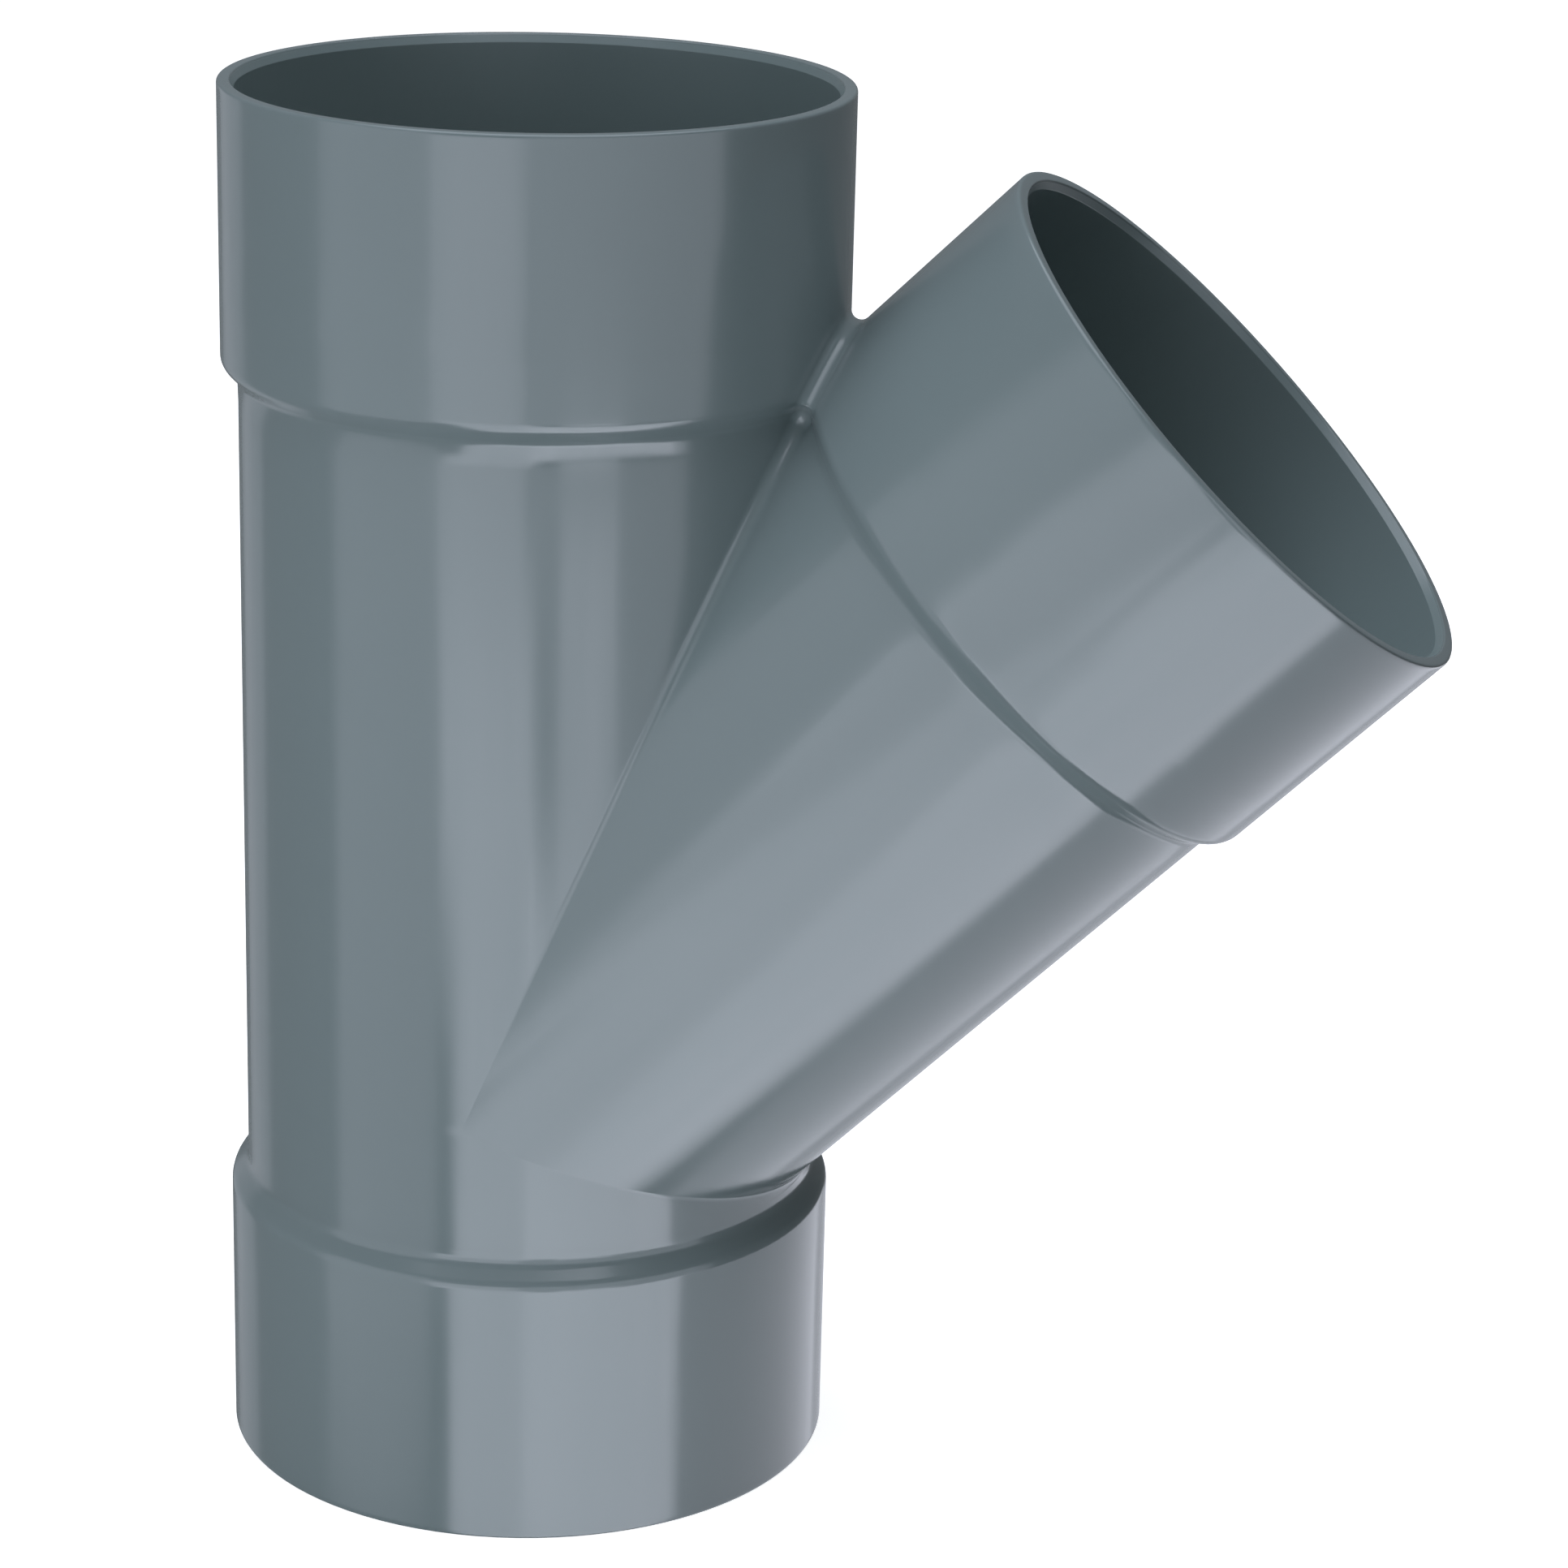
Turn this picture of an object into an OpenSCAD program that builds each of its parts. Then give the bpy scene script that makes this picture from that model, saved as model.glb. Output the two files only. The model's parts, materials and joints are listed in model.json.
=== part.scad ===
// Wye fitting for solvent-welded drain pipe, moulded in one piece of rigid grey plastic.
// A straight run has a socket at each end, and a branch of the same bore leaves it at an
// angle and ends in a third socket. A pipe slides in until its end meets the stop, a step
// as high as the pipe's wall, so that the water runs past the joint without a ledge.
// The run stands along Z on its lower mouth, and the branch leans towards +X.
// The origin is the centre of the lower mouth. Lengths are millimetres.

/* [Pipe and wall] */
// Outside diameter of the pipe that the sockets take
pipe_d = 110; // [75:5:200]
// Room for the cement film, on the diameter
socket_clearance = 0.4; // [0.2:0.1:1]
// Wall of the tubes and of the sockets
wall = 3.2; // [2.4:0.1:5]
// Height of the stop in each socket, the same as the pipe's wall
stop_step = 3.2; // [2:0.1:5]

/* [Layout] */
// Angle between the run and the branch
branch_angle = 45; // [45:1:67]
// From the corner where two pushed-in pipes would touch up to the run's upper stop
run_gap = 1.7; // [1.2:0.1:30]
// From the same corner out to the branch's stop
branch_gap = 2; // [1.2:0.1:30]
// From the corner under the branch down to the lower socket's stop
lower_gap = 8.1; // [6:0.1:60]

/* [Sockets] */
// Depth of each socket, from its mouth to its stop
socket_depth = 50; // [30:1:90]
// Width of the lead-in bevel at the mouth
bevel_w = 0.9; // [0.4:0.1:1.5]
// Depth of the lead-in bevel
bevel_depth = 1.6; // [1:0.2:4]
// Rounding of the mouth's outer edge
rim_round = 0.6; // [0.3:0.1:0.8]

/* [Shoulders] */
// Slope of the shoulder between tube and socket, from the axis
shoulder_slope = 45; // [30:1:60]
// Rounding at the foot and at the head of the shoulder
shoulder_round = 3; // [2.75:0.25:6]
// How far the shoulder ends before the stop
shoulder_back = 3; // [1:0.5:10]

/* [Hidden] */
$fn = 144;
plastic = [0.45, 0.49, 0.52];

bore_r = (pipe_d + socket_clearance) / 2;
socket_r = bore_r + wall;
waterway_r = bore_r - stop_step;
tube_r = waterway_r + wall;

// Half of the angle between the tubes, above the branch and below it
upper_half = branch_angle / 2;
lower_half = 90 - upper_half;

// Distances from the crossing of the axes, along each axis
pipe_corner = bore_r / tan(upper_half);
upper_stop = pipe_corner + run_gap;
branch_stop = pipe_corner + branch_gap;
lower_stop = tube_r / tan(lower_half) + lower_gap;
lower_mouth = lower_stop + socket_depth;

// The shoulder climbs from the tube to the socket. Its rounding is limited by its slope
shoulder_slant = (socket_r - tube_r) / sin(shoulder_slope);
round_r = min(shoulder_round, 0.45 * shoulder_slant / tan(shoulder_slope / 2));
shoulder_len = (socket_r - tube_r) / tan(shoulder_slope) + 2 * round_r * tan(shoulder_slope / 2);

overlap = 1;

// Half section of a tube and its socket, x from the axis, y from the crossing to the mouth
module tube_section(stop) {
    mouth = stop + socket_depth;
    head = stop - shoulder_back;
    foot = head - shoulder_len;
    lean_x = round_r * (1 - cos(shoulder_slope));
    lean_y = round_r * sin(shoulder_slope);
    difference() {
        union() {
            square([tube_r, mouth]);
            polygon([
                [0, foot],
                [tube_r, foot],
                [tube_r + lean_x, foot + lean_y],
                [socket_r - lean_x, head - lean_y],
                [socket_r, head],
                [0, head]
            ]);
            translate([socket_r - round_r, head]) circle(r = round_r);
            translate([0, head]) square([socket_r, mouth - rim_round - head]);
            translate([0, head]) square([socket_r - rim_round, mouth - head]);
            translate([socket_r - rim_round, mouth - rim_round]) circle(r = rim_round, $fn = 32);
        }
        translate([tube_r + round_r, foot]) circle(r = round_r);
    }
}

// Half section of the hollow in a tube and its socket, open at the mouth
module hollow_section(stop) {
    mouth = stop + socket_depth;
    polygon([
        [0, 0],
        [waterway_r, 0],
        [waterway_r, stop],
        [bore_r, stop],
        [bore_r, mouth - bevel_depth],
        [bore_r + bevel_w, mouth],
        [bore_r + bevel_w, mouth + overlap],
        [0, mouth + overlap]
    ]);
}

module run_outside() {
    rotate_extrude() {
        tube_section(upper_stop);
        mirror([0, 1]) tube_section(lower_stop);
    }
}

module branch_outside() {
    rotate([0, branch_angle, 0]) rotate_extrude() tube_section(branch_stop);
}

module run_hollow() {
    rotate_extrude() {
        hollow_section(upper_stop);
        mirror([0, 1]) hollow_section(lower_stop);
    }
}

module branch_hollow() {
    rotate([0, branch_angle, 0]) rotate_extrude() hollow_section(branch_stop);
}

module wye_body() {
    color(plastic) translate([0, 0, lower_mouth]) difference() {
        union() {
            run_outside();
            branch_outside();
        }
        run_hollow();
        branch_hollow();
    }
}

wye_body();
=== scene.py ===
# %% [markdown]
# # A grey plastic wye for drain pipe
# The fitting is moulded in one piece: a straight run with a socket at each end, and a branch of
# the same bore that leaves it at 45 degrees and ends in a third socket. The lesson loads the
# measured part, gives it the roundings and the finish of a moulding, and lights and frames it as
# a studio would.

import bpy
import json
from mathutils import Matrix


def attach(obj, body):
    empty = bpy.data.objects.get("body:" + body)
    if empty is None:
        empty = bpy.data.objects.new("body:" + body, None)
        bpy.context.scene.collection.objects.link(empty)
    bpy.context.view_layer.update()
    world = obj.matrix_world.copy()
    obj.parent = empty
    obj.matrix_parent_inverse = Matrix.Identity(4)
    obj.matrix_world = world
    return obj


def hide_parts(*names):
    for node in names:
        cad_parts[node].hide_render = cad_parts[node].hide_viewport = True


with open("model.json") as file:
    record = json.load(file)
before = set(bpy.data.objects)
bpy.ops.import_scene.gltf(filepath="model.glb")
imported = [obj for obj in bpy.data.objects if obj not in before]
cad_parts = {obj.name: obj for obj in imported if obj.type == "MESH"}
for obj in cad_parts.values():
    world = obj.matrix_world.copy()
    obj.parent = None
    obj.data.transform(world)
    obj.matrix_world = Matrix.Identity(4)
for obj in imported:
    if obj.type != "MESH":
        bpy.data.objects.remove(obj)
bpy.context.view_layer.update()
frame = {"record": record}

# %% [markdown]
# ## The libraries
# `bpy` is Blender's own library, and `mathutils` holds its vectors.

# %% Import the libraries
import bpy
import json
import math
from mathutils import Vector

# %% [markdown]
# ## The sizes
# A maker starts from the pipe. The socket's bore takes a pipe of 110 mm, the stop inside is as high
# as the pipe's wall, and the three gaps say how far each stop lies beyond the corner where two
# pushed-in pipes would touch. The bore is read from the measured part. The rest could be measured
# off its mesh, but a size with a name is easier to follow and to change. Lengths are in
# millimetres until a point is placed.

# %% Name the sizes
MM = 0.001
mounts = {mount["name"]: mount for mount in frame["record"]["mounts"]}
bore_r = mounts["top_socket"]["dims"]["r_mm"]
wall = 3.2
stop_step = 3.2
socket_depth = 50
branch_angle = math.radians(45)
run_gap = 1.7
branch_gap = 2
lower_gap = 8.1

socket_r = bore_r + wall
waterway_r = bore_r - stop_step
tube_r = waterway_r + wall
pipe_corner = bore_r / math.tan(branch_angle / 2)
upper_stop = pipe_corner + run_gap
branch_stop = pipe_corner + branch_gap
lower_stop = tube_r * math.tan(branch_angle / 2) + lower_gap
crossing = lower_stop + socket_depth
print("the axes cross, mm above the floor:", round(crossing, 3))
print("overall height, mm:", round(crossing + upper_stop + socket_depth, 3))

# %% [markdown]
# ## The wall's half section
# Each of the three tubes is a body of revolution, so half of its section says all: the tube, a
# shoulder that climbs at 45 degrees with a rounding at its foot and its head, and the socket. The
# shoulder ends just before the stop, a little further out than on the measured part, because a
# late look at the photograph put it there. The section could be a list of points, but a formula
# gives the radius at any height, and the direction that faces out of the plastic as well.

# %% Describe the outer wall
shoulder_slope = math.radians(45)
shoulder_round = 3
shoulder_back = 0.6
climb = (socket_r - tube_r) / math.tan(shoulder_slope)
shoulder_len = climb + 2 * shoulder_round * math.tan(shoulder_slope / 2)
shoulder_reach = shoulder_round * math.sin(shoulder_slope)


def outer_wall(height, stop):
    """Radius at a height from the crossing, and the outward direction as (radial, axial)."""
    head = stop - shoulder_back
    foot = head - shoulder_len
    if height <= foot:
        return tube_r, (1, 0)
    if height >= head:
        return socket_r, (1, 0)
    if height < foot + shoulder_reach:
        rise = height - foot
        side = math.sqrt(shoulder_round**2 - rise**2)
        return tube_r + shoulder_round - side, (side / shoulder_round, -rise / shoulder_round)
    if height > head - shoulder_reach:
        drop = head - height
        side = math.sqrt(shoulder_round**2 - drop**2)
        return socket_r - shoulder_round + side, (side / shoulder_round, -drop / shoulder_round)
    start = tube_r + shoulder_round * (1 - math.cos(shoulder_slope))
    radius = start + (height - foot - shoulder_reach) * math.tan(shoulder_slope)
    return radius, (math.cos(shoulder_slope), -math.sin(shoulder_slope))


def inner_wall(height, stop):
    """The waterway is plain where the tubes cross."""
    return waterway_r, (1, 0)


print("socket radius, mm:", round(outer_wall(upper_stop, upper_stop)[0], 3))
print("shoulder length, mm:", round(shoulder_len, 3))

# %% [markdown]
# ## The rolled groove
# Where two tubes meet, a mould leaves a small round instead of a sharp corner. A Bevel modifier
# could round it, but the shoulders run into the corner too, and its faces may pinch there. A
# machinist would cut the round with a ball that rolls along the groove and touches both tubes, and
# this is done here. First comes the height at which a ball touches the tube that it rests on: on a
# shoulder, it touches higher than its centre.

# %% Find where a ball touches a shoulder
def touch_height(centre_height, stop, ball):
    """The height at which a ball, resting on a tube's outer wall, touches it."""
    head = stop - shoulder_back
    foot = head - shoulder_len
    ball_reach = ball * math.sin(shoulder_slope)
    low = foot + shoulder_reach - ball_reach
    high = head - shoulder_reach - ball_reach
    if centre_height <= foot or centre_height >= head:
        return centre_height
    if centre_height < low:
        return foot + (centre_height - foot) * shoulder_reach / (low - foot)
    if centre_height > high:
        return head - (head - centre_height) * shoulder_reach / (head - high)
    return centre_height + ball_reach


middle_of_shoulder = upper_stop - shoulder_back - shoulder_len / 2
print("a ball of 2 mm, centred at", round(middle_of_shoulder, 2), end=" ")
print("mm, touches at", round(touch_height(middle_of_shoulder, upper_stop, 2), 2))

# %% [markdown]
# Now the ball is set on the branch at some height, and turned about the branch's axis until it
# touches the run as well. Halving the range again and again finds that turn. The ball's centre and
# the directions to the two walls are all that is needed to draw the groove. Plain numbers are used
# here, because Blender's vectors hold only seven digits, and the patches are to meet exactly.

# %% Rest a ball against both tubes
HALVINGS = 50
lean_sin = math.sin(branch_angle)
lean_cos = math.cos(branch_angle)


def rest_ball(height, side, ball, wall_at, run_stop):
    """Rests the ball on the branch at a height, above it (side 1) or under it (side -1)."""
    radius, (radial, axial) = wall_at(height, branch_stop)
    distance = radius + ball * radial
    along = height + ball * axial

    def in_frame(out, up, turn):
        """A place on the branch, from its distance from the axis, its height and its turn."""
        across = side * out * math.cos(turn)
        return (
            up * lean_sin - across * lean_cos,
            out * math.sin(turn),
            up * lean_cos + across * lean_sin,
        )

    def on_run(turn):
        """Where the ball would touch the run: the height there, and the wall's radius and slope."""
        up = side * in_frame(distance, along, turn)[2]
        touch = up if wall_at is inner_wall else touch_height(up, run_stop, ball)
        return touch, wall_at(touch, run_stop)

    def clearance(turn):
        x, y, _ = in_frame(distance, along, turn)
        _, (run_radius, (run_radial, _)) = on_run(turn)
        return math.hypot(x, y) - run_radius - ball * run_radial

    near, turn = 0.0, math.pi / 2
    if clearance(near) > 0:
        turn = near
    for _ in range(HALVINGS):
        middle = (near + turn) / 2
        if clearance(middle) < 0:
            near = middle
        else:
            turn = middle
    centre = in_frame(distance, along, turn)
    touch, (_, (run_radial, run_axial)) = on_run(turn)
    run_turn = math.atan2(centre[1], centre[0])
    to_run = (
        -run_radial * math.cos(run_turn),
        -run_radial * math.sin(run_turn),
        -side * run_axial,
    )
    return {
        "centre": centre,
        "to_branch": tuple(-c for c in in_frame(radial, axial, turn)),
        "to_run": to_run,
        "branch_height": height,
        "branch_turn": turn,
        "run_height": touch,
        "run_turn": run_turn,
    }


level = rest_ball(0, 1, 2, outer_wall, upper_stop)
print("beside the crossing the ball's centre is, mm:", [round(c, 2) for c in level["centre"]])

# %% [markdown]
# ## The rows of the net
# The skin is a net: rows run round each tube, and columns run from the crossing to the mouth. A row
# starts where the ball touches on one side and ends where it touches on the other, so nothing has
# to be cut, as a Boolean would do, and no sliver faces are left. Rows stand closer where the groove
# turns fast and where the shoulder bends. These helpers give the heights of such rows.

# %% Write helpers for the rows
def crotch_height(side, ball, wall_at, run_stop):
    """The height on the branch at which the groove comes round to the middle."""
    low, high = 0.0, 2 * upper_stop
    for _ in range(HALVINGS):
        middle = (low + high) / 2
        if rest_ball(middle, side, ball, wall_at, run_stop)["branch_turn"] > 1e-6:
            low = middle
        else:
            high = middle
    return high


def by_turn(start, end, step):
    """Heights from start to end, at even turns of a groove that closes at end."""
    first = math.acos(start / end)
    count = math.ceil(first / math.radians(step))
    return [end * math.cos(first * (1 - k / count)) for k in range(1, count + 1)]


def evenly(start, end, longest):
    """Heights after start, up to end, no further apart than the longest step."""
    count = math.ceil((end - start) / longest)
    return [start + (end - start) * k / count for k in range(1, count + 1)]


def over_shoulder(stop, steps=5):
    """Heights over the shoulder, close together at its two roundings."""
    head = stop - shoulder_back
    foot = head - shoulder_len
    reach = [shoulder_round * math.sin(shoulder_slope * k / steps) for k in range(steps + 1)]
    return [foot + r for r in reach] + [head - r for r in reversed(reach)]


print("rows over a shoulder:", len(over_shoulder(branch_stop)))

# %% [markdown]
# The round outside is about 2 mm, as its thin line of shine shows. In the waterway it is taken as
# smaller, because two steel cores meet there almost sharply. The rows are chosen once for the
# outside and once for the inside.

# %% Choose the rows
seam_round = 2
inner_round = 1
outer_low = crotch_height(-1, seam_round, outer_wall, lower_stop)
outer_high = crotch_height(1, seam_round, outer_wall, upper_stop)
inner_low = crotch_height(-1, inner_round, inner_wall, lower_stop)
inner_high = crotch_height(1, inner_round, inner_wall, upper_stop)
shoulder_rows = over_shoulder(branch_stop)

outer_rows = [0.0] + by_turn(0, outer_low, step=4)
outer_rows += evenly(outer_low, shoulder_rows[0], longest=3.5)[:-1] + shoulder_rows
outer_rows += by_turn(shoulder_rows[-1], outer_high, step=2)
inner_rows = [0.0] + by_turn(0, inner_low, step=4)
inner_rows += by_turn(inner_low, inner_high, step=3)
print("rows where the tubes meet:", len(outer_rows), "outside and", len(inner_rows), "inside")

# %% [markdown]
# The same ball is now rested at every row, above the branch and under it, outside and inside. That
# gives four grooves. Only the half at the back of the fitting is worked out, because the front is
# its mirror image.

# %% Roll the four grooves
def roll(rows, highest, side, ball, wall_at, run_stop):
    return [
        rest_ball(height, side, ball, wall_at, run_stop)
        for height in rows
        if height <= highest + 1e-6
    ]


outer_upper = roll(outer_rows, outer_high, 1, seam_round, outer_wall, upper_stop)
outer_lower = roll(outer_rows, outer_low, -1, seam_round, outer_wall, lower_stop)
inner_upper = roll(inner_rows, inner_high, 1, inner_round, inner_wall, upper_stop)
inner_lower = roll(inner_rows, inner_low, -1, inner_round, inner_wall, lower_stop)
print("the upper groove closes", round(outer_high, 2), "mm up the branch")

# %% [markdown]
# ## The mouth
# From the stop the section goes up the bore, out over a small lead-in bevel that guides the pipe,
# across the flat rim and round its outer edge. Each corner gets a small arc, because a moulded edge
# is never knife-sharp and the arc is what catches the light. A Bevel modifier would round the
# corners too, but here the arcs are part of the rows, so every patch stays a plain grid.

# %% Write the corner's arc
def round_corner(before, corner, after, radius, steps=4):
    """An arc that touches both sides of a corner, with a point just before and after it."""
    corner = Vector(corner)
    back = (Vector(before) - corner).normalized()
    on = (Vector(after) - corner).normalized()
    half = back.angle(on) / 2
    reach = radius / math.tan(half)
    centre = corner + (back + on).normalized() * radius / math.sin(half)
    first = corner + back * reach - centre
    last = corner + on * reach - centre
    sweep = math.pi - 2 * half
    points = [corner + back * (reach + radius)]
    for k in range(steps + 1):
        part = k / steps
        weights = math.sin((1 - part) * sweep), math.sin(part * sweep)
        points.append(centre + (weights[0] * first + weights[1] * last) / math.sin(sweep))
    return points + [corner + on * (reach + radius)]


print("points at a corner:", len(round_corner((1, 0), (0, 0), (0, 1), 0.25)))

# %% [markdown]
# The six corners of the mouth's section are joined up here. The function also counts the points
# that lie in the bore, because the bore gets a duller finish than the skin.

# %% Draw the mouth's section
bevel_width = 0.9
bevel_depth = 1.6
rim_round = 0.6
edge_round = 0.25


def mouth_section(stop, start, end):
    """Points (radius, height) from a height in the waterway, round the mouth, to one outside."""
    mouth = stop + socket_depth
    line = [
        ((waterway_r, start), 0),
        ((waterway_r, stop), edge_round),
        ((bore_r, stop), edge_round),
        ((bore_r, mouth - bevel_depth), edge_round),
        ((bore_r + bevel_width, mouth), edge_round),
        ((socket_r, mouth), rim_round),
        ((socket_r, end), 0),
    ]
    points = []
    for before, here, after in zip(line, line[1:], line[2:]):
        points += round_corner(before[0], here[0], after[0], here[1])
    inside = sum(1 for point in points if point.x < bore_r + bevel_width / 2)
    return [(point.x, point.y) for point in points], inside


print("points round a mouth:", len(mouth_section(upper_stop, inner_high, outer_high)[0]))

# %% [markdown]
# ## Three sleeves
# The upper run, the lower run and the branch are each one line of rows: up the waterway, round the
# mouth and back down the outside. A row holds its radius, its height and how far the groove cuts in
# from the front and from the back, as turns. Blender keeps such numbers on a mesh as attributes.

# %% Line up the rows of a sleeve
def sleeve_rows(inner, outer, stop, end_rows):
    """Rows (radius, height, front turn, back turn), from the crossing and back to it."""
    last_inner = inner[-1][1]
    last_outer = outer[-1][1]
    section, inside = mouth_section(stop, last_inner, last_outer)
    far_rows = [height for height in end_rows if height > last_outer + 0.1]
    wall_rows = [(outer_wall(height, stop)[0], height, 0, 0) for height in reversed(far_rows)]
    round_mouth = [(radius, height, 0, 0) for radius, height in section]
    return inner + round_mouth + wall_rows + outer[::-1], len(inner) + inside


def run_rows(groove, wall_at, stop):
    return [(wall_at(r["run_height"], stop)[0], r["run_height"], r["run_turn"], 0) for r in groove]


def branch_rows(lower, upper, wall_at):
    rows = []
    for k, rest in enumerate(upper):
        front = lower[k]["branch_turn"] if k < len(lower) else 0
        height = rest["branch_height"]
        rows.append((wall_at(height, branch_stop)[0], height, front, rest["branch_turn"]))
    return rows


print("rows beside the branch's grooves:", len(branch_rows(outer_lower, outer_upper, outer_wall)))

# %% [markdown]
# Above the grooves a socket is plain, so a row every 12 mm is enough there. The lower socket starts
# below its groove, so its shoulder has rows of its own.

# %% Line up the three sleeves
row_gap = 12
plain_rows = [outer_high + row_gap, outer_high + 2 * row_gap]
lower_rows = over_shoulder(lower_stop) + [lower_stop + row_gap * k for k in (1, 2, 3)]
sleeves = {
    "upper_run": sleeve_rows(
        run_rows(inner_upper, inner_wall, upper_stop),
        run_rows(outer_upper, outer_wall, upper_stop),
        upper_stop,
        plain_rows,
    ),
    "lower_run": sleeve_rows(
        run_rows(inner_lower, inner_wall, lower_stop),
        run_rows(outer_lower, outer_wall, lower_stop),
        lower_stop,
        lower_rows,
    ),
    "branch": sleeve_rows(
        branch_rows(inner_lower, inner_upper, inner_wall),
        branch_rows(outer_lower, outer_upper, outer_wall),
        branch_stop,
        plain_rows,
    ),
}
for name, (rows, inside) in sleeves.items():
    print(name, "has", len(rows), "rows, of which", inside, "inside")

# %% [markdown]
# ## Helpers for node trees
# Shaders and shapes are both drawn here as node trees. A tree can be drawn by hand in the editor,
# but a script keeps its numbers in sight. Short helpers keep such a script readable: one makes a
# tree with its named sockets, one adds a node and fills its inputs, and two do arithmetic.

# %% Write the helpers
def new_tree(name, kind, inputs, outputs):
    tree = bpy.data.node_groups.new(name, kind)
    for way, sockets in (("INPUT", inputs), ("OUTPUT", outputs)):
        for socket, value_kind in sockets:
            tree.interface.new_socket(socket, in_out=way, socket_type="NodeSocket" + value_kind)
    return tree


def put(tree, kind, inputs=(), **settings):
    """Adds a node, sets its settings and fills its inputs with values or other nodes' outputs."""
    node = tree.nodes.new(kind)
    for key, value in settings.items():
        setattr(node, key, value)
    for key, value in dict(inputs).items():
        if isinstance(value, bpy.types.NodeSocket):
            tree.links.new(value, node.inputs[key])
        else:
            node.inputs[key].default_value = value
    return node


def calc(tree, operation, *values):
    return put(tree, "ShaderNodeMath", enumerate(values), operation=operation).outputs[0]


def vector_calc(tree, operation, *values):
    return put(tree, "ShaderNodeVectorMath", enumerate(values), operation=operation).outputs


print("node trees so far:", len(bpy.data.node_groups))

# %% [markdown]
# ## The plastic
# Drain fittings are moulded in rigid grey PVC. Close to, three things give it away: the colour
# drifts a little where the melt flowed, the skin has faint waves, and fine lines run along each
# tube. A photograph of plastic could be wrapped round the part, but noise that is worked out in
# the part's own space has no seams and holds up close to. Each effect is a node group, so that the
# outer skin and the bore can use the same ones in other amounts. The first one drifts the colour,
# in clouds about 9 cm across.

# %% Let the colour drift
def drift_group():
    tree = new_tree(
        "colour_drift",
        "ShaderNodeTree",
        [("Place", "Vector"), ("Deep", "Color"), ("Pale", "Color")],
        [("Color", "Color")],
    )
    start = put(tree, "NodeGroupInput").outputs
    cloud = put(
        tree,
        "ShaderNodeTexNoise",
        {"Vector": start["Place"], "Scale": 11.0, "Detail": 4.0, "Distortion": 0.6},
    )
    mix = put(
        tree,
        "ShaderNodeMix",
        {"Factor": cloud.outputs["Fac"], "A": start["Deep"], "B": start["Pale"]},
        data_type="RGBA",
    )
    put(tree, "NodeGroupOutput", {0: mix.outputs["Result"]})
    return tree


colour_drift = drift_group()
print("shader group:", colour_drift.name)

# %% [markdown]
# As the melt cools against the steel it shrinks unevenly, which leaves waves some 3 cm long. They
# are too low to see by themselves, but they bend the edges of reflections. A grain of 1.4 mm on
# top of them keeps the shine from looking like glass.

# %% Ripple the skin
def waves_group():
    """Waves with a fine grain on them, as a height in metres."""
    tree = new_tree(
        "cooling_waves",
        "ShaderNodeTree",
        [("Place", "Vector"), ("Wave Depth", "Float"), ("Grain Depth", "Float")],
        [("Height", "Float")],
    )
    start = put(tree, "NodeGroupInput").outputs
    wave = put(tree, "ShaderNodeTexNoise", {"Vector": start["Place"], "Scale": 30.0, "Detail": 1.0})
    grain = put(tree, "ShaderNodeTexNoise", {"Vector": start["Place"], "Scale": 700.0, "Detail": 2.0})
    wave_height = calc(tree, "MULTIPLY", wave.outputs["Fac"], start["Wave Depth"])
    grain_height = calc(tree, "MULTIPLY", grain.outputs["Fac"], start["Grain Depth"])
    put(tree, "NodeGroupOutput", {0: calc(tree, "ADD", wave_height, grain_height)})
    return tree


cooling_waves = waves_group()
print("shader group:", cooling_waves.name)

# %% [markdown]
# A long steel core is pulled out of each bore and leaves fine lines along it, and on the outside
# faint streaks run the same way. Noise that is squeezed along the tube's own axis stretches into
# such lines, 2.4 mm wide and some 8 cm long, and a second, coarser noise lets them come and go in
# patches. The mesh will carry each tube's own frame as an attribute, because the branch's lines
# lean with the branch.

# %% Draw lines along the tubes
ALONG_TUBE = (1.0, 1.0, 0.03)


def marks_group():
    """Fine lines along a tube, from its own frame, as a mask and as a height in metres."""
    tree = new_tree(
        "draw_marks",
        "ShaderNodeTree",
        [("Tube Place", "Vector"), ("Depth", "Float")],
        [("Mask", "Float"), ("Height", "Float")],
    )
    start = put(tree, "NodeGroupInput").outputs
    squeezed = vector_calc(tree, "MULTIPLY", start["Tube Place"], ALONG_TUBE)[0]
    lines = put(tree, "ShaderNodeTexNoise", {"Vector": squeezed, "Scale": 420.0, "Detail": 2.0})
    patches = put(tree, "ShaderNodeTexNoise", {"Vector": start["Tube Place"], "Scale": 24.0})
    mask = calc(tree, "MULTIPLY", lines.outputs["Fac"], patches.outputs["Fac"])
    put(tree, "NodeGroupOutput", {0: mask, 1: calc(tree, "MULTIPLY", mask, start["Depth"])})
    return tree


draw_marks = marks_group()
print("shader group:", draw_marks.name)

# %% [markdown]
# The two finishes are one recipe with other amounts. The mask of the lines spreads from about 0.12
# to 0.4, and is mapped to the roughness. The heights go into a Bump node, which tilts the light
# without moving the surface: that is enough for marks of a few thousandths of a millimetre.

# %% Write the recipe of the plastic
PVC_IOR = 1.53
MASK_LOW = 0.12
MASK_HIGH = 0.4


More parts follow.
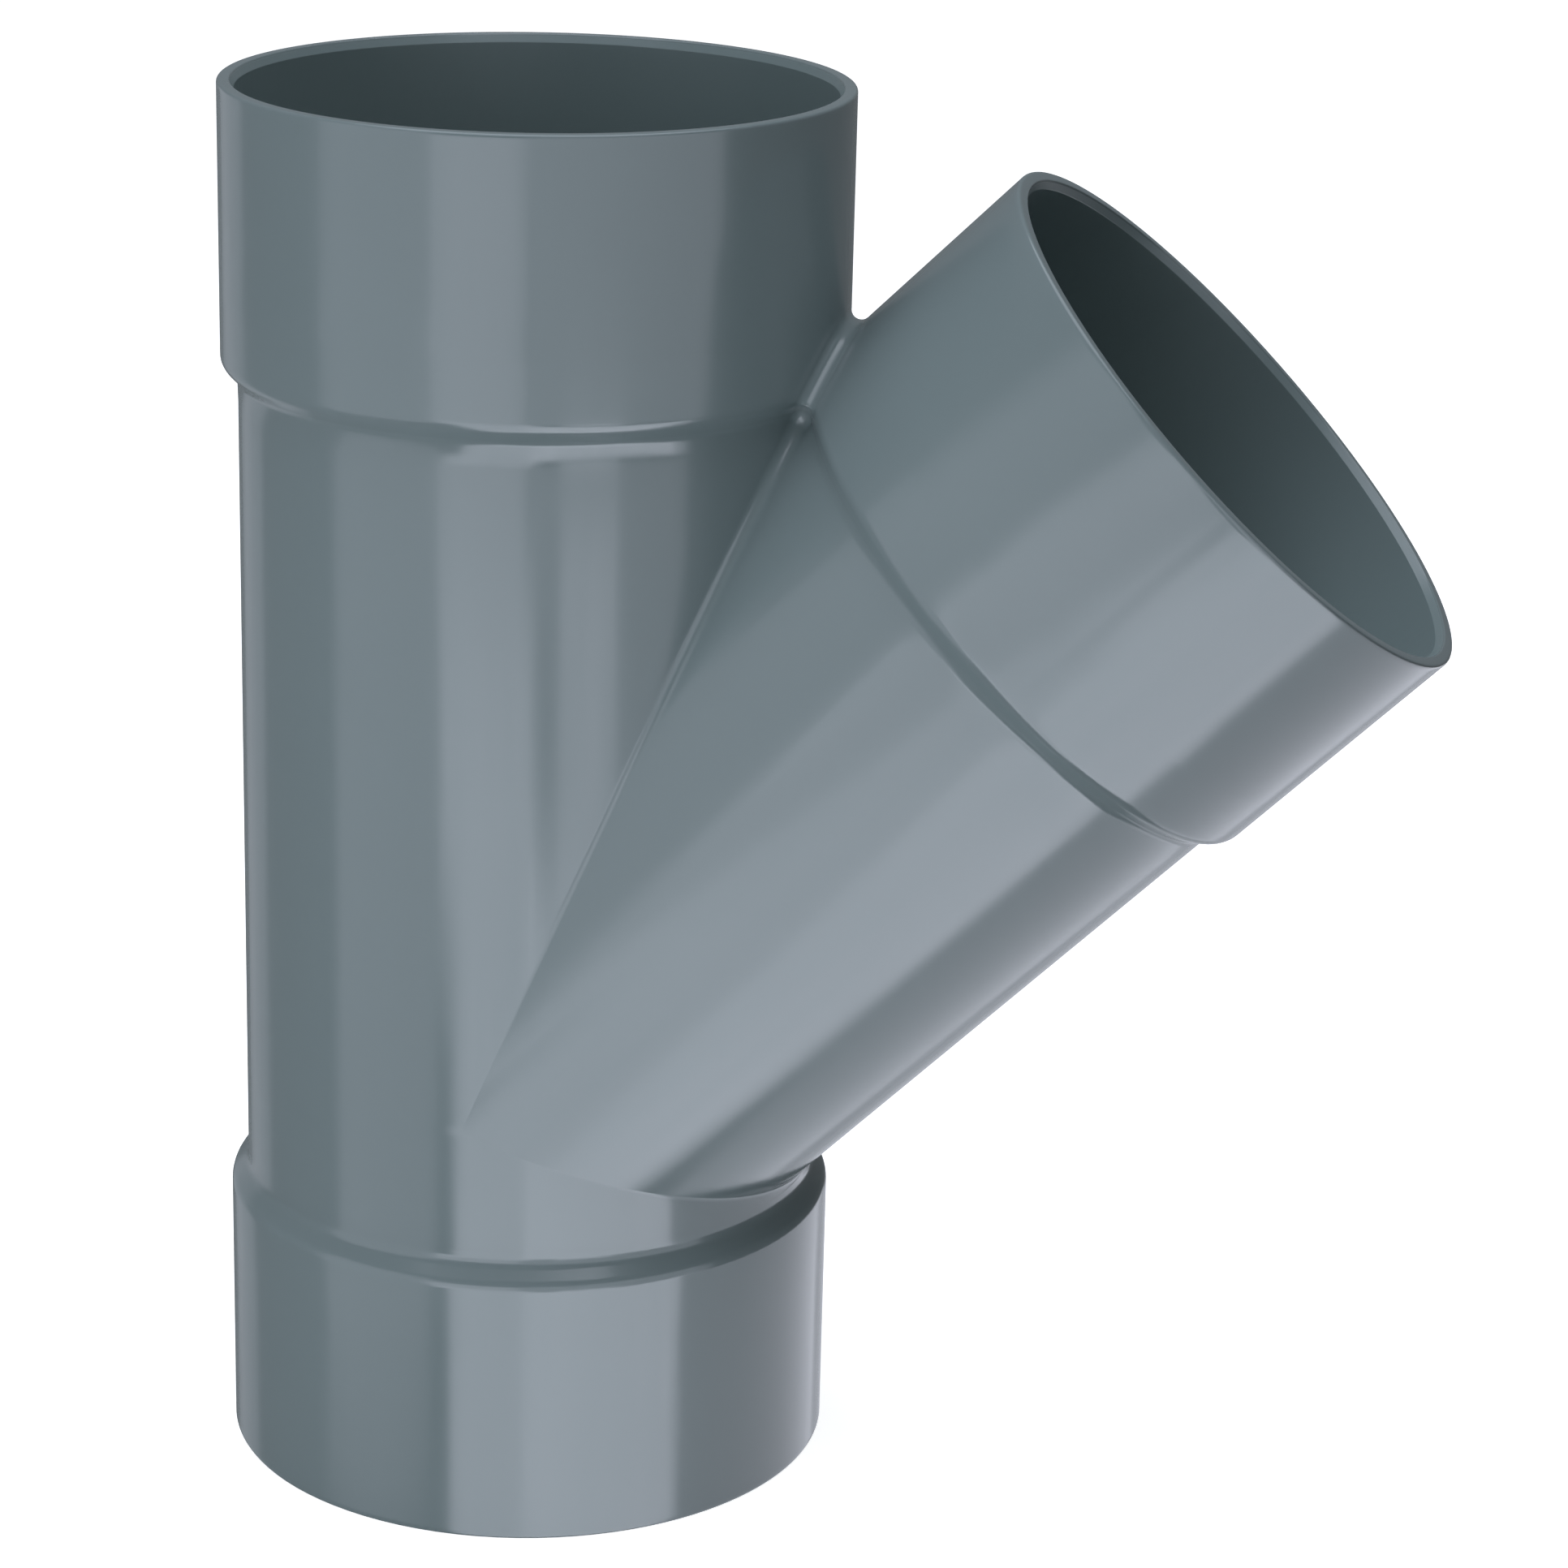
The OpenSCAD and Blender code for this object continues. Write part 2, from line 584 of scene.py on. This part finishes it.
def moulded_plastic(name, deep, pale, gloss, wave_depth, grain_depth, mark_depth):
    """gloss is the roughness between the lines and on them, and the depths are millimetres."""
    material = bpy.data.materials.new(name)
    material.use_nodes = True
    tree = material.node_tree
    shader = tree.nodes["Principled BSDF"]
    shader.inputs["IOR"].default_value = PVC_IOR
    place = put(tree, "ShaderNodeTexCoord").outputs["Object"]
    tube_place = put(tree, "ShaderNodeAttribute", attribute_name="tube_place").outputs["Vector"]
    drift = put(
        tree,
        "ShaderNodeGroup",
        {"Place": place, "Deep": (*deep, 1), "Pale": (*pale, 1)},
        node_tree=colour_drift,
    )
    waves = put(
        tree,
        "ShaderNodeGroup",
        {"Place": place, "Wave Depth": wave_depth * MM, "Grain Depth": grain_depth * MM},
        node_tree=cooling_waves,
    )
    marks = put(
        tree,
        "ShaderNodeGroup",
        {"Tube Place": tube_place, "Depth": mark_depth * MM},
        node_tree=draw_marks,
    )
    rough = put(
        tree,
        "ShaderNodeMapRange",
        {"Value": marks.outputs["Mask"], "From Min": MASK_LOW, "From Max": MASK_HIGH,
         "To Min": gloss[0], "To Max": gloss[1]},
    )
    height = calc(tree, "ADD", waves.outputs["Height"], marks.outputs["Height"])
    bump = put(tree, "ShaderNodeBump", {"Height": height, "Distance": 1.0})
    tree.links.new(drift.outputs["Color"], shader.inputs["Base Color"])
    tree.links.new(rough.outputs[0], shader.inputs["Roughness"])
    tree.links.new(bump.outputs["Normal"], shader.inputs["Normal"])
    return material


print("heights are added from", cooling_waves.name, "and", draw_marks.name)

# %% [markdown]
# The skin takes the polish of the mould. The bore shows no sharp shine, so it is made duller. Its
# roughness stays above 0.28, because a bore with smoother patches came out of the denoiser with
# dark flecks.

# %% Mix the two finishes
skin_plastic = moulded_plastic(
    "grey_pvc_skin",
    deep=(0.18, 0.228, 0.229),
    pale=(0.2, 0.252, 0.253),
    gloss=(0.15, 0.21),
    wave_depth=0.03,
    grain_depth=0.0004,
    mark_depth=0.002,
)
bore_plastic = moulded_plastic(
    "grey_pvc_bore",
    deep=(0.183, 0.24, 0.24),
    pale=(0.203, 0.264, 0.264),
    gloss=(0.29, 0.34),
    wave_depth=0.02,
    grain_depth=0.0008,
    mark_depth=0.0005,
)
print("finishes:", skin_plastic.name, bore_plastic.name)

# %% [markdown]
# ## Geometry Nodes: a net that follows a line of rows
# A node tree is a recipe that Blender cooks on a mesh. Both recipes below start from a grid with
# one row for each point of a line. Each point of the grid looks up its row on the line, and knows
# its share of the way along that row. The same could be done point by point in Python, but the
# recipe takes its sizes as inputs and can be cooked again for each tube.

# %% Write helpers for a net
def shape_tree(name, inputs):
    geometry = [("Geometry", "Geometry")]
    return new_tree(name, "GeometryNodeTree", geometry + inputs, geometry)


def look_up(tree, line, row, name, kind):
    """The value that the line's point with this row number holds."""
    if name == "position":
        held = put(tree, "GeometryNodeInputPosition").outputs[0]
    else:
        held = put(tree, "GeometryNodeInputNamedAttribute", {"Name": name}, data_type=kind)
        held = held.outputs["Attribute"]
    found = put(
        tree,
        "GeometryNodeSampleIndex",
        {"Geometry": line, "Value": held, "Index": row},
        data_type=kind,
    )
    return found.outputs["Value"]


def net(tree, line, across):
    """A grid with one row for each point of the line, and each point's row and share of the row."""
    count = put(tree, "GeometryNodeAttributeDomainSize", {"Geometry": line}).outputs["Point Count"]
    wide = calc(tree, "ADD", across, 1.0)
    grid = put(tree, "GeometryNodeMeshGrid", {"Vertices X": count, "Vertices Y": wide})
    number = put(tree, "GeometryNodeInputIndex").outputs[0]
    row = calc(tree, "FLOOR", calc(tree, "DIVIDE", calc(tree, "ADD", number, 0.5), wide))
    column = calc(tree, "SUBTRACT", number, calc(tree, "MULTIPLY", row, wide))
    return grid.outputs["Mesh"], row, calc(tree, "DIVIDE", column, across)


print("shader groups and trees so far:", len(bpy.data.node_groups))

# %% [markdown]
# Each recipe ends in the same way: the half shape is leaned and lifted into place, its mirror image
# is added, and the materials are set. Before it leans, every corner of every face stores where it
# lies in its tube's own frame, for the lines along the tube.

# %% Write helpers that finish a shape
def keep_tube_place(tree, shape):
    """Stores the place on each face's corners, so that sewing doesn't mix two patches' values."""
    return put(
        tree,
        "GeometryNodeStoreNamedAttribute",
        {
            "Geometry": shape,
            "Name": "tube_place",
            "Value": put(tree, "GeometryNodeInputPosition").outputs[0],
        },
        data_type="FLOAT_VECTOR",
        domain="CORNER",
    ).outputs[0]


def finish_tree(tree, shape, lean, lift, finishes):
    """Leans the half into place, adds its mirror image, and sets the materials."""
    placed = {"Geometry": shape, "Rotation": lean, "Translation": lift}
    turned = put(tree, "GeometryNodeTransform", placed).outputs[0]
    mirrored = put(tree, "GeometryNodeTransform", {"Geometry": turned, "Scale": (1, -1, 1)})
    both = put(tree, "GeometryNodeJoinGeometry")
    tree.links.new(turned, both.inputs[0])
    tree.links.new(mirrored.outputs[0], both.inputs[0])
    real = put(tree, "GeometryNodeRealizeInstances", {"Geometry": both.outputs[0]}).outputs[0]
    for material, selection in finishes:
        node = put(tree, "GeometryNodeSetMaterial", {"Geometry": real, "Material": material})
        if selection is not None:
            tree.links.new(selection, node.inputs["Selection"])
        real = node.outputs[0]
    put(tree, "NodeGroupOutput", {0: real})


print("a finished shape stores the attribute tube_place")

# %% [markdown]
# ## Geometry Nodes: turn a sleeve
# This recipe is a lathe. Each point takes its row's radius and height, and is turned by its share
# of the way from the front groove to the back one. A Screw modifier is a lathe too, but can't
# start and end each row at a groove. `Gather` draws the columns towards both ends of a row, so
# that the small faces of a groove don't meet very wide ones.

# %% Write the lathe
def turn_round(tree, radius, height, turn):
    """A place at this radius and height, turned about the tube's axis."""
    x = calc(tree, "MULTIPLY", radius, calc(tree, "COSINE", turn))
    y = calc(tree, "MULTIPLY", radius, calc(tree, "SINE", turn))
    return put(tree, "ShaderNodeCombineXYZ", {"X": x, "Y": y, "Z": height}).outputs[0]


def gather_columns(tree, share, amount):
    """Draws the shares towards 0 and 1, while both ends stay where they are."""
    swing = calc(tree, "SINE", calc(tree, "MULTIPLY", share, 2 * math.pi))
    pull = calc(tree, "MULTIPLY", swing, calc(tree, "DIVIDE", amount, 2 * math.pi))
    return calc(tree, "SUBTRACT", share, pull)


def mark_bore(tree, shape, rows, columns):
    """Stores which faces lie in the bore: the grid's first ones, up to this row."""
    faces = calc(tree, "MULTIPLY", rows, columns)
    number = put(tree, "GeometryNodeInputIndex").outputs[0]
    return put(
        tree,
        "GeometryNodeStoreNamedAttribute",
        {"Geometry": shape, "Name": "in_bore", "Value": calc(tree, "LESS_THAN", number, faces)},
        data_type="FLOAT",
        domain="FACE",
    ).outputs[0]


print("the lathe turns a row through up to", round(math.degrees(math.pi)), "degrees")

# %% [markdown]
# The tree itself now reads like the recipe: look up the row, gather the columns, turn, store and
# finish. Its inputs have names, so a sleeve with more columns or another lean needs no new tree.

# %% Build the tree that turns a sleeve
def sleeve_tree():
    tree = shape_tree(
        "turned_sleeve",
        [("Columns", "Int"), ("Gather", "Float"), ("Bore Rows", "Int"), ("Lean", "Vector"),
         ("Lift", "Vector"), ("Skin", "Material"), ("Bore", "Material")],
    )
    start = put(tree, "NodeGroupInput").outputs
    grid, row, share = net(tree, start["Geometry"], start["Columns"])
    place = look_up(tree, start["Geometry"], row, "position", "FLOAT_VECTOR")
    front = look_up(tree, start["Geometry"], row, "front_turn", "FLOAT")
    back = look_up(tree, start["Geometry"], row, "back_turn", "FLOAT")
    parts = put(tree, "ShaderNodeSeparateXYZ", {0: place}).outputs

    span = calc(tree, "SUBTRACT", calc(tree, "SUBTRACT", math.pi, back), front)
    gathered = gather_columns(tree, share, start["Gather"])
    turn = calc(tree, "ADD", front, calc(tree, "MULTIPLY", span, gathered))
    spot = turn_round(tree, parts["X"], parts["Z"], turn)
    moved = put(tree, "GeometryNodeSetPosition", {"Geometry": grid, "Position": spot}).outputs[0]
    marked = keep_tube_place(tree, moved)
    sorted_faces = mark_bore(tree, marked, start["Bore Rows"], start["Columns"])
    in_bore = put(
        tree, "GeometryNodeInputNamedAttribute", {"Name": "in_bore"}, data_type="FLOAT"
    ).outputs["Attribute"]
    finishes = [(start["Skin"], None), (start["Bore"], calc(tree, "GREATER_THAN", in_bore, 0.5))]
    finish_tree(tree, sorted_faces, start["Lean"], start["Lift"], finishes)
    return tree


turn_sleeve = sleeve_tree()
print("tree:", turn_sleeve.name, "with", len(turn_sleeve.nodes), "nodes")

# %% [markdown]
# ## Geometry Nodes: draw a groove
# The second tree follows the ball's path. At each stop it draws the arc of the ball that faces the
# corner, from the run's wall to the branch's. The arc is a blend of the two directions, weighted by
# sines, so that every point keeps the ball's radius from its centre.

# %% Build the tree that draws a groove
def groove_tree():
    tree = shape_tree(
        "rolled_groove",
        [("Steps", "Int"), ("Ball", "Float"), ("Lean", "Vector"), ("Lift", "Vector"),
         ("Skin", "Material")],
    )
    start = put(tree, "NodeGroupInput").outputs
    grid, row, share = net(tree, start["Geometry"], start["Steps"])
    centre = look_up(tree, start["Geometry"], row, "position", "FLOAT_VECTOR")
    to_run = look_up(tree, start["Geometry"], row, "to_run", "FLOAT_VECTOR")
    to_branch = look_up(tree, start["Geometry"], row, "to_branch", "FLOAT_VECTOR")
    closeness = vector_calc(tree, "DOT_PRODUCT", to_run, to_branch)["Value"]
    opening = calc(tree, "MAXIMUM", calc(tree, "ARCCOSINE", closeness), 0.001)
    whole = calc(tree, "SINE", opening)
    rest = calc(tree, "SUBTRACT", 1.0, share)
    run_part = calc(tree, "SINE", calc(tree, "MULTIPLY", rest, opening))
    branch_part = calc(tree, "SINE", calc(tree, "MULTIPLY", share, opening))
    run_reach = calc(tree, "MULTIPLY", start["Ball"], calc(tree, "DIVIDE", run_part, whole))
    branch_reach = calc(tree, "MULTIPLY", start["Ball"], calc(tree, "DIVIDE", branch_part, whole))
    first = put(tree, "ShaderNodeVectorMath", {0: to_run, "Scale": run_reach}, operation="SCALE")
    last = put(tree, "ShaderNodeVectorMath", {0: to_branch, "Scale": branch_reach}, operation="SCALE")
    arc = vector_calc(tree, "ADD", first.outputs[0], last.outputs[0])[0]
    spot = vector_calc(tree, "ADD", centre, arc)[0]
    moved = put(tree, "GeometryNodeSetPosition", {"Geometry": grid, "Position": spot}).outputs[0]
    marked = keep_tube_place(tree, moved)
    finish_tree(tree, marked, start["Lean"], start["Lift"], [(start["Skin"], None)])
    return tree


draw_groove = groove_tree()
print("tree:", draw_groove.name, "with", len(draw_groove.nodes), "nodes")

# %% [markdown]
# ## Cook the trees
# Each line of rows becomes a small mesh with its attributes and gets its tree as a modifier. The
# modifier's inputs are set by each socket's identifier, because names may repeat. The result is
# taken as a plain mesh, so that nothing live is left on the finished piece.

# %% Cook a line of points with a tree
def cook(name, points, attributes, tree, inputs):
    line = bpy.data.meshes.new(name)
    line.from_pydata([tuple(c * MM for c in point) for point in points], [], [])
    for key, (kind, values) in attributes.items():
        layer = line.attributes.new(key, kind, "POINT")
        if kind == "FLOAT":
            layer.data.foreach_set("value", values)
        else:
            layer.data.foreach_set("vector", [c for value in values for c in value])
    holder = bpy.data.objects.new(name, line)
    bpy.context.scene.collection.objects.link(holder)
    modifier = holder.modifiers.new("recipe", "NODES")
    modifier.node_group = tree
    for socket in tree.interface.items_tree:
        if socket.in_out == "INPUT" and socket.name in inputs:
            modifier[socket.identifier] = inputs[socket.name]
    ready = holder.evaluated_get(bpy.context.evaluated_depsgraph_get())
    result = bpy.data.meshes.new_from_object(ready)
    holder.modifiers.clear()
    bpy.data.objects.remove(holder)
    return result


columns = 80
groove_steps = 8
gather = 0.7
lift = (0, 0, crossing * MM)


def cook_sleeve(name, direction, lean):
    rows, inside = sleeves[name]
    return cook(
        name,
        [(radius, 0, direction * height) for radius, height, _, _ in rows],
        {
            "front_turn": ("FLOAT", [row[2] for row in rows]),
            "back_turn": ("FLOAT", [row[3] for row in rows]),
        },
        turn_sleeve,
        {
            "Columns": columns,
            "Gather": gather,
            "Bore Rows": inside,
            "Lean": (0, lean, 0),
            "Lift": lift,
            "Skin": skin_plastic,
            "Bore": bore_plastic,
        },
    )


def cook_groove(name, path, ball, material):
    return cook(
        name,
        [rest["centre"] for rest in path],
        {
            "to_run": ("FLOAT_VECTOR", [rest["to_run"] for rest in path]),
            "to_branch": ("FLOAT_VECTOR", [rest["to_branch"] for rest in path]),
        },
        draw_groove,
        {"Steps": groove_steps, "Ball": ball * MM, "Lean": (0, 0, 0), "Lift": lift, "Skin": material},
    )


print("a sleeve is cooked with", columns, "columns, a groove with", groove_steps, "steps")

# %% [markdown]
# Three sleeves and four grooves make seven patches. The lower run is turned upside down by its
# direction of -1, and only the branch leans.

# %% Cook the seven patches
patches = [
    cook_sleeve("upper_run", 1, 0),
    cook_sleeve("lower_run", -1, 0),
    cook_sleeve("branch", 1, branch_angle),
    cook_groove("outer_upper", outer_upper, seam_round, skin_plastic),
    cook_groove("outer_lower", outer_lower, seam_round, skin_plastic),
    cook_groove("inner_upper", inner_upper, inner_round, bore_plastic),
    cook_groove("inner_lower", inner_lower, inner_round, bore_plastic),
]
print("patch faces:", [len(patch.polygons) for patch in patches])

# %% [markdown]
# ## Sew the patches
# Seven patches share their edge points, so merging points that coincide closes the skin. The count
# of open edges tells whether it is watertight: it has to be nought. A mirrored half may face
# inwards, so the normals are worked out again afterwards.

# %% Sew the patches into one skin
import bmesh

finishes = [skin_plastic, bore_plastic]
sewn = bmesh.new()
for patch in patches:
    slots = [finishes.index(material) if material else 0 for material in patch.materials]
    before = len(sewn.faces)
    sewn.from_mesh(patch)
    sewn.faces.ensure_lookup_table()
    for face in sewn.faces[before:]:
        face.material_index = slots[face.material_index]
bmesh.ops.remove_doubles(sewn, verts=sewn.verts, dist=0.01 * MM)
bmesh.ops.recalc_face_normals(sewn, faces=sewn.faces)
for face in sewn.faces:
    face.smooth = True
print("open edges:", sum(1 for edge in sewn.edges if not edge.is_manifold))
print("volume, cubic cm:", round(sewn.calc_volume(signed=True) * 1e6, 2))

# %% [markdown]
# ## Put the moulding on the part
# The sewn skin becomes one object, with its place in its mesh. It rides on the only body, the
# measured mesh is hidden, and the object gets two material slots, for the skin and the bore.

# %% Place the moulding
skin = bpy.data.meshes.new("moulded_wye")
sewn.to_mesh(skin)
sewn.free()
for material in finishes:
    skin.materials.append(material)
moulded = bpy.data.objects.new("moulded_wye", skin)
bpy.context.scene.collection.objects.link(moulded)
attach(moulded, "root")
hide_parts("wye_body")
print("triangles in the piece:", sum(len(polygon.vertices) - 2 for polygon in skin.polygons))

# %% [markdown]
# ## The floor
# Such fittings are shown on plain white paper. A shadow catcher could do it, but real paper also
# sends light up under the branch. The paper glows a little, only as the camera sees it, so that it
# comes out white without lighting the part. The shine doesn't see it at all, because the studio
# hangs some of its soft boxes lower than the floor.

# %% Lay the floor
FLOOR_SIZE = 6
PAPER_WHITE = (0.9, 0.9, 0.9, 1)
PAPER_ROUGHNESS = 0.9
PAPER_GLOW = 0.82
bpy.ops.mesh.primitive_plane_add(size=FLOOR_SIZE)
floor = bpy.context.object
floor.name = "floor"
floor.visible_glossy = False
paper = bpy.data.materials.new("paper")
paper.use_nodes = True
paper_shader = paper.node_tree.nodes["Principled BSDF"]
paper_shader.inputs["Base Color"].default_value = PAPER_WHITE
paper_shader.inputs["Roughness"].default_value = PAPER_ROUGHNESS
paper_shader.inputs["Emission Color"].default_value = (1, 1, 1, 1)
seen = put(paper.node_tree, "ShaderNodeLightPath").outputs["Is Camera Ray"]
paper_glow = calc(paper.node_tree, "MULTIPLY", seen, PAPER_GLOW)
paper.node_tree.links.new(paper_glow, paper_shader.inputs["Emission Strength"])
floor.data.materials.append(paper)
print("floor, m:", [round(side, 2) for side in floor.dimensions[:2]])

# %% [markdown]
# ## The surround
# Beyond the floor the camera sees white, while the part is lit by a dim, slightly cool room, which
# keeps the dark side of the tubes from going black. Standard colour management keeps white white.

# %% Set the surround
ROOM_LIGHT = (0.165, 0.175, 0.185, 1)
SEEN_WHITE = (1, 1, 1, 1)
world = bpy.data.worlds.new("surround")
bpy.context.scene.world = world
world.use_nodes = True
sky = world.node_tree
seen = put(sky, "ShaderNodeLightPath").outputs["Is Camera Ray"]
tone = put(sky, "ShaderNodeMix", data_type="RGBA")
tone.inputs["A"].default_value = ROOM_LIGHT
tone.inputs["B"].default_value = SEEN_WHITE
sky.links.new(seen, tone.inputs["Factor"])
sky.links.new(tone.outputs["Result"], sky.nodes["Background"].inputs["Color"])
bpy.context.scene.view_settings.view_transform = "Standard"
print("surround:", world.name)

# %% [markdown]
# ## Soft boxes
# Glossy plastic shows its lamps, so each band of shine on the tubes is one soft box, and the box's
# place decides where the band falls. A box could be placed by trial. It is quicker to work out
# which way each band looks from the part's heart, and to give the box as a span of bearings and
# elevations. Bearing 0 faces the front, and 90 the branch's side.

# %% Write the soft box
heart = Vector((0.03, 0, 0.13))
LAMP_TINT = (0.97, 1.0, 1.12)


def hang_lamp(name, place, turn, width, height, glow):
    """glow is the brightness of the box's cloth, so a bigger box doesn't look brighter."""
    data = bpy.data.lights.new(name, "AREA")
    data.shape = "RECTANGLE"
    data.size = width
    data.size_y = height
    data.energy = glow * math.pi * width * height
    data.color = LAMP_TINT
    lamp = bpy.data.objects.new(name, data)
    bpy.context.scene.collection.objects.link(lamp)
    lamp.location = place
    lamp.rotation_euler = turn
    return lamp


def soft_box(name, bearings, elevations, distance, glow, shine_only=False):
    """An upright box that spans these bearings and elevations, in degrees, seen from the heart."""
    left, right = bearings
    low, high = elevations
    middle = math.radians((left + right) / 2)
    width = 2 * distance * math.tan(math.radians((right - left) / 2))
    bottom = distance * math.tan(math.radians(low))
    top = distance * math.tan(math.radians(high))
    away = Vector((math.sin(middle) * distance, -math.cos(middle) * distance, (bottom + top) / 2))
    lamp = hang_lamp(name, heart + away, (math.radians(90), 0, middle), width, top - bottom, glow)
    lamp.visible_diffuse = not shine_only


print("the boxes turn about, m:", [round(c, 3) for c in heart])

# %% [markdown]
# The left box and the strip under it draw the broad band down the run, and the right strip draws
# the narrow one beside it. The two low boxes are seen only in the shine: they light the branch and
# the lower socket. The fills and the rim lift both sides, and the two cards draw the thin light
# line under the branch. The top box shapes the mouths.

# %% Hang the soft boxes
TOP_SIZE = 1.7
TOP_HEIGHT = 1.5
TOP_GLOW = 1.9
soft_box("left_box", (-25, 8), (-11.5, 12), distance=0.75, glow=2.25)
soft_box("left_strip", (-24, 11), (-20, -11.5), distance=0.75, glow=3.3)
soft_box("right_strip", (21, 43), (-20, -9.5), distance=0.9, glow=2.1)
soft_box("low_left_box", (-18, 10), (-68, -20), distance=0.75, glow=3.5)
soft_box("low_right_box", (10, 70), (-68, -20), distance=0.75, glow=4.5)
soft_box("side_fill", (-69, -25), (-30, 30), distance=2.0, glow=0.95)
soft_box("right_fill", (11, 82), (-19, 22), distance=2.0, glow=1.3, shine_only=True)
soft_box("left_rim", (-140, -115), (-40, 10), distance=1.5, glow=0.33)
soft_box("floor_card", (73, 162), (-72, -20), distance=1.5, glow=1.35)
soft_box("back_card", (162, 195), (-62, -20), distance=1.5, glow=0.55, shine_only=True)
hang_lamp("top_box", heart + Vector((0, 0, TOP_HEIGHT)), (0, 0, 0), TOP_SIZE, TOP_SIZE, TOP_GLOW)
print("lamps:", len(bpy.data.lights))

# %% [markdown]
# ## A black card
# A real bore falls off into shadow. Paper on every side would light it up, so a black card leans
# beside the branch and keeps the floor's light out of its mouth. It only takes soft light away: the
# camera and the shine don't see it.

# %% Lean a black card beside the branch
CARD_SIZE = 0.6
CARD_PLACE = (0.41, 0, 0.26)
CARD_LEAN = math.radians(-52)
CARD_BLACK = (0.01, 0.01, 0.01, 1)
bpy.ops.mesh.primitive_plane_add(size=CARD_SIZE)
card = bpy.context.object
card.name = "black_card"
card.location = CARD_PLACE
card.rotation_euler = (0, CARD_LEAN, 0)
card.visible_camera = False
card.visible_glossy = False
black = bpy.data.materials.new("black_cloth")
black.use_nodes = True
black.node_tree.nodes["Principled BSDF"].inputs["Base Color"].default_value = CARD_BLACK
card.data.materials.append(black)
print("black card, m:", CARD_SIZE, "wide, from the heart:", round((card.location - heart).length, 2))

# %% [markdown]
# ## The camera
# The rims of the sockets are circles, so how flat each one looks gives the height of the camera,
# and how the tubes narrow gives its distance. It stands 85 cm from the part, higher than its top
# socket and a little to the branch's side, with a long lens.

# %% Place the camera
CAMERA_PLACE = (0.18842, -0.78896, 0.39676)
CAMERA_TILT = math.radians(71.890)
CAMERA_ROLL = math.radians(-1.394)
CAMERA_TURN = math.radians(10.489)
lens = bpy.data.cameras.new("camera")
lens.sensor_width = 36
lens.lens = 101.97
camera = bpy.data.objects.new("camera", lens)
bpy.context.scene.collection.objects.link(camera)
camera.location = CAMERA_PLACE
camera.rotation_euler = (CAMERA_TILT, CAMERA_ROLL, CAMERA_TURN)
bpy.context.scene.camera = camera
print("camera to part, m:", round((camera.location - heart).length, 3))
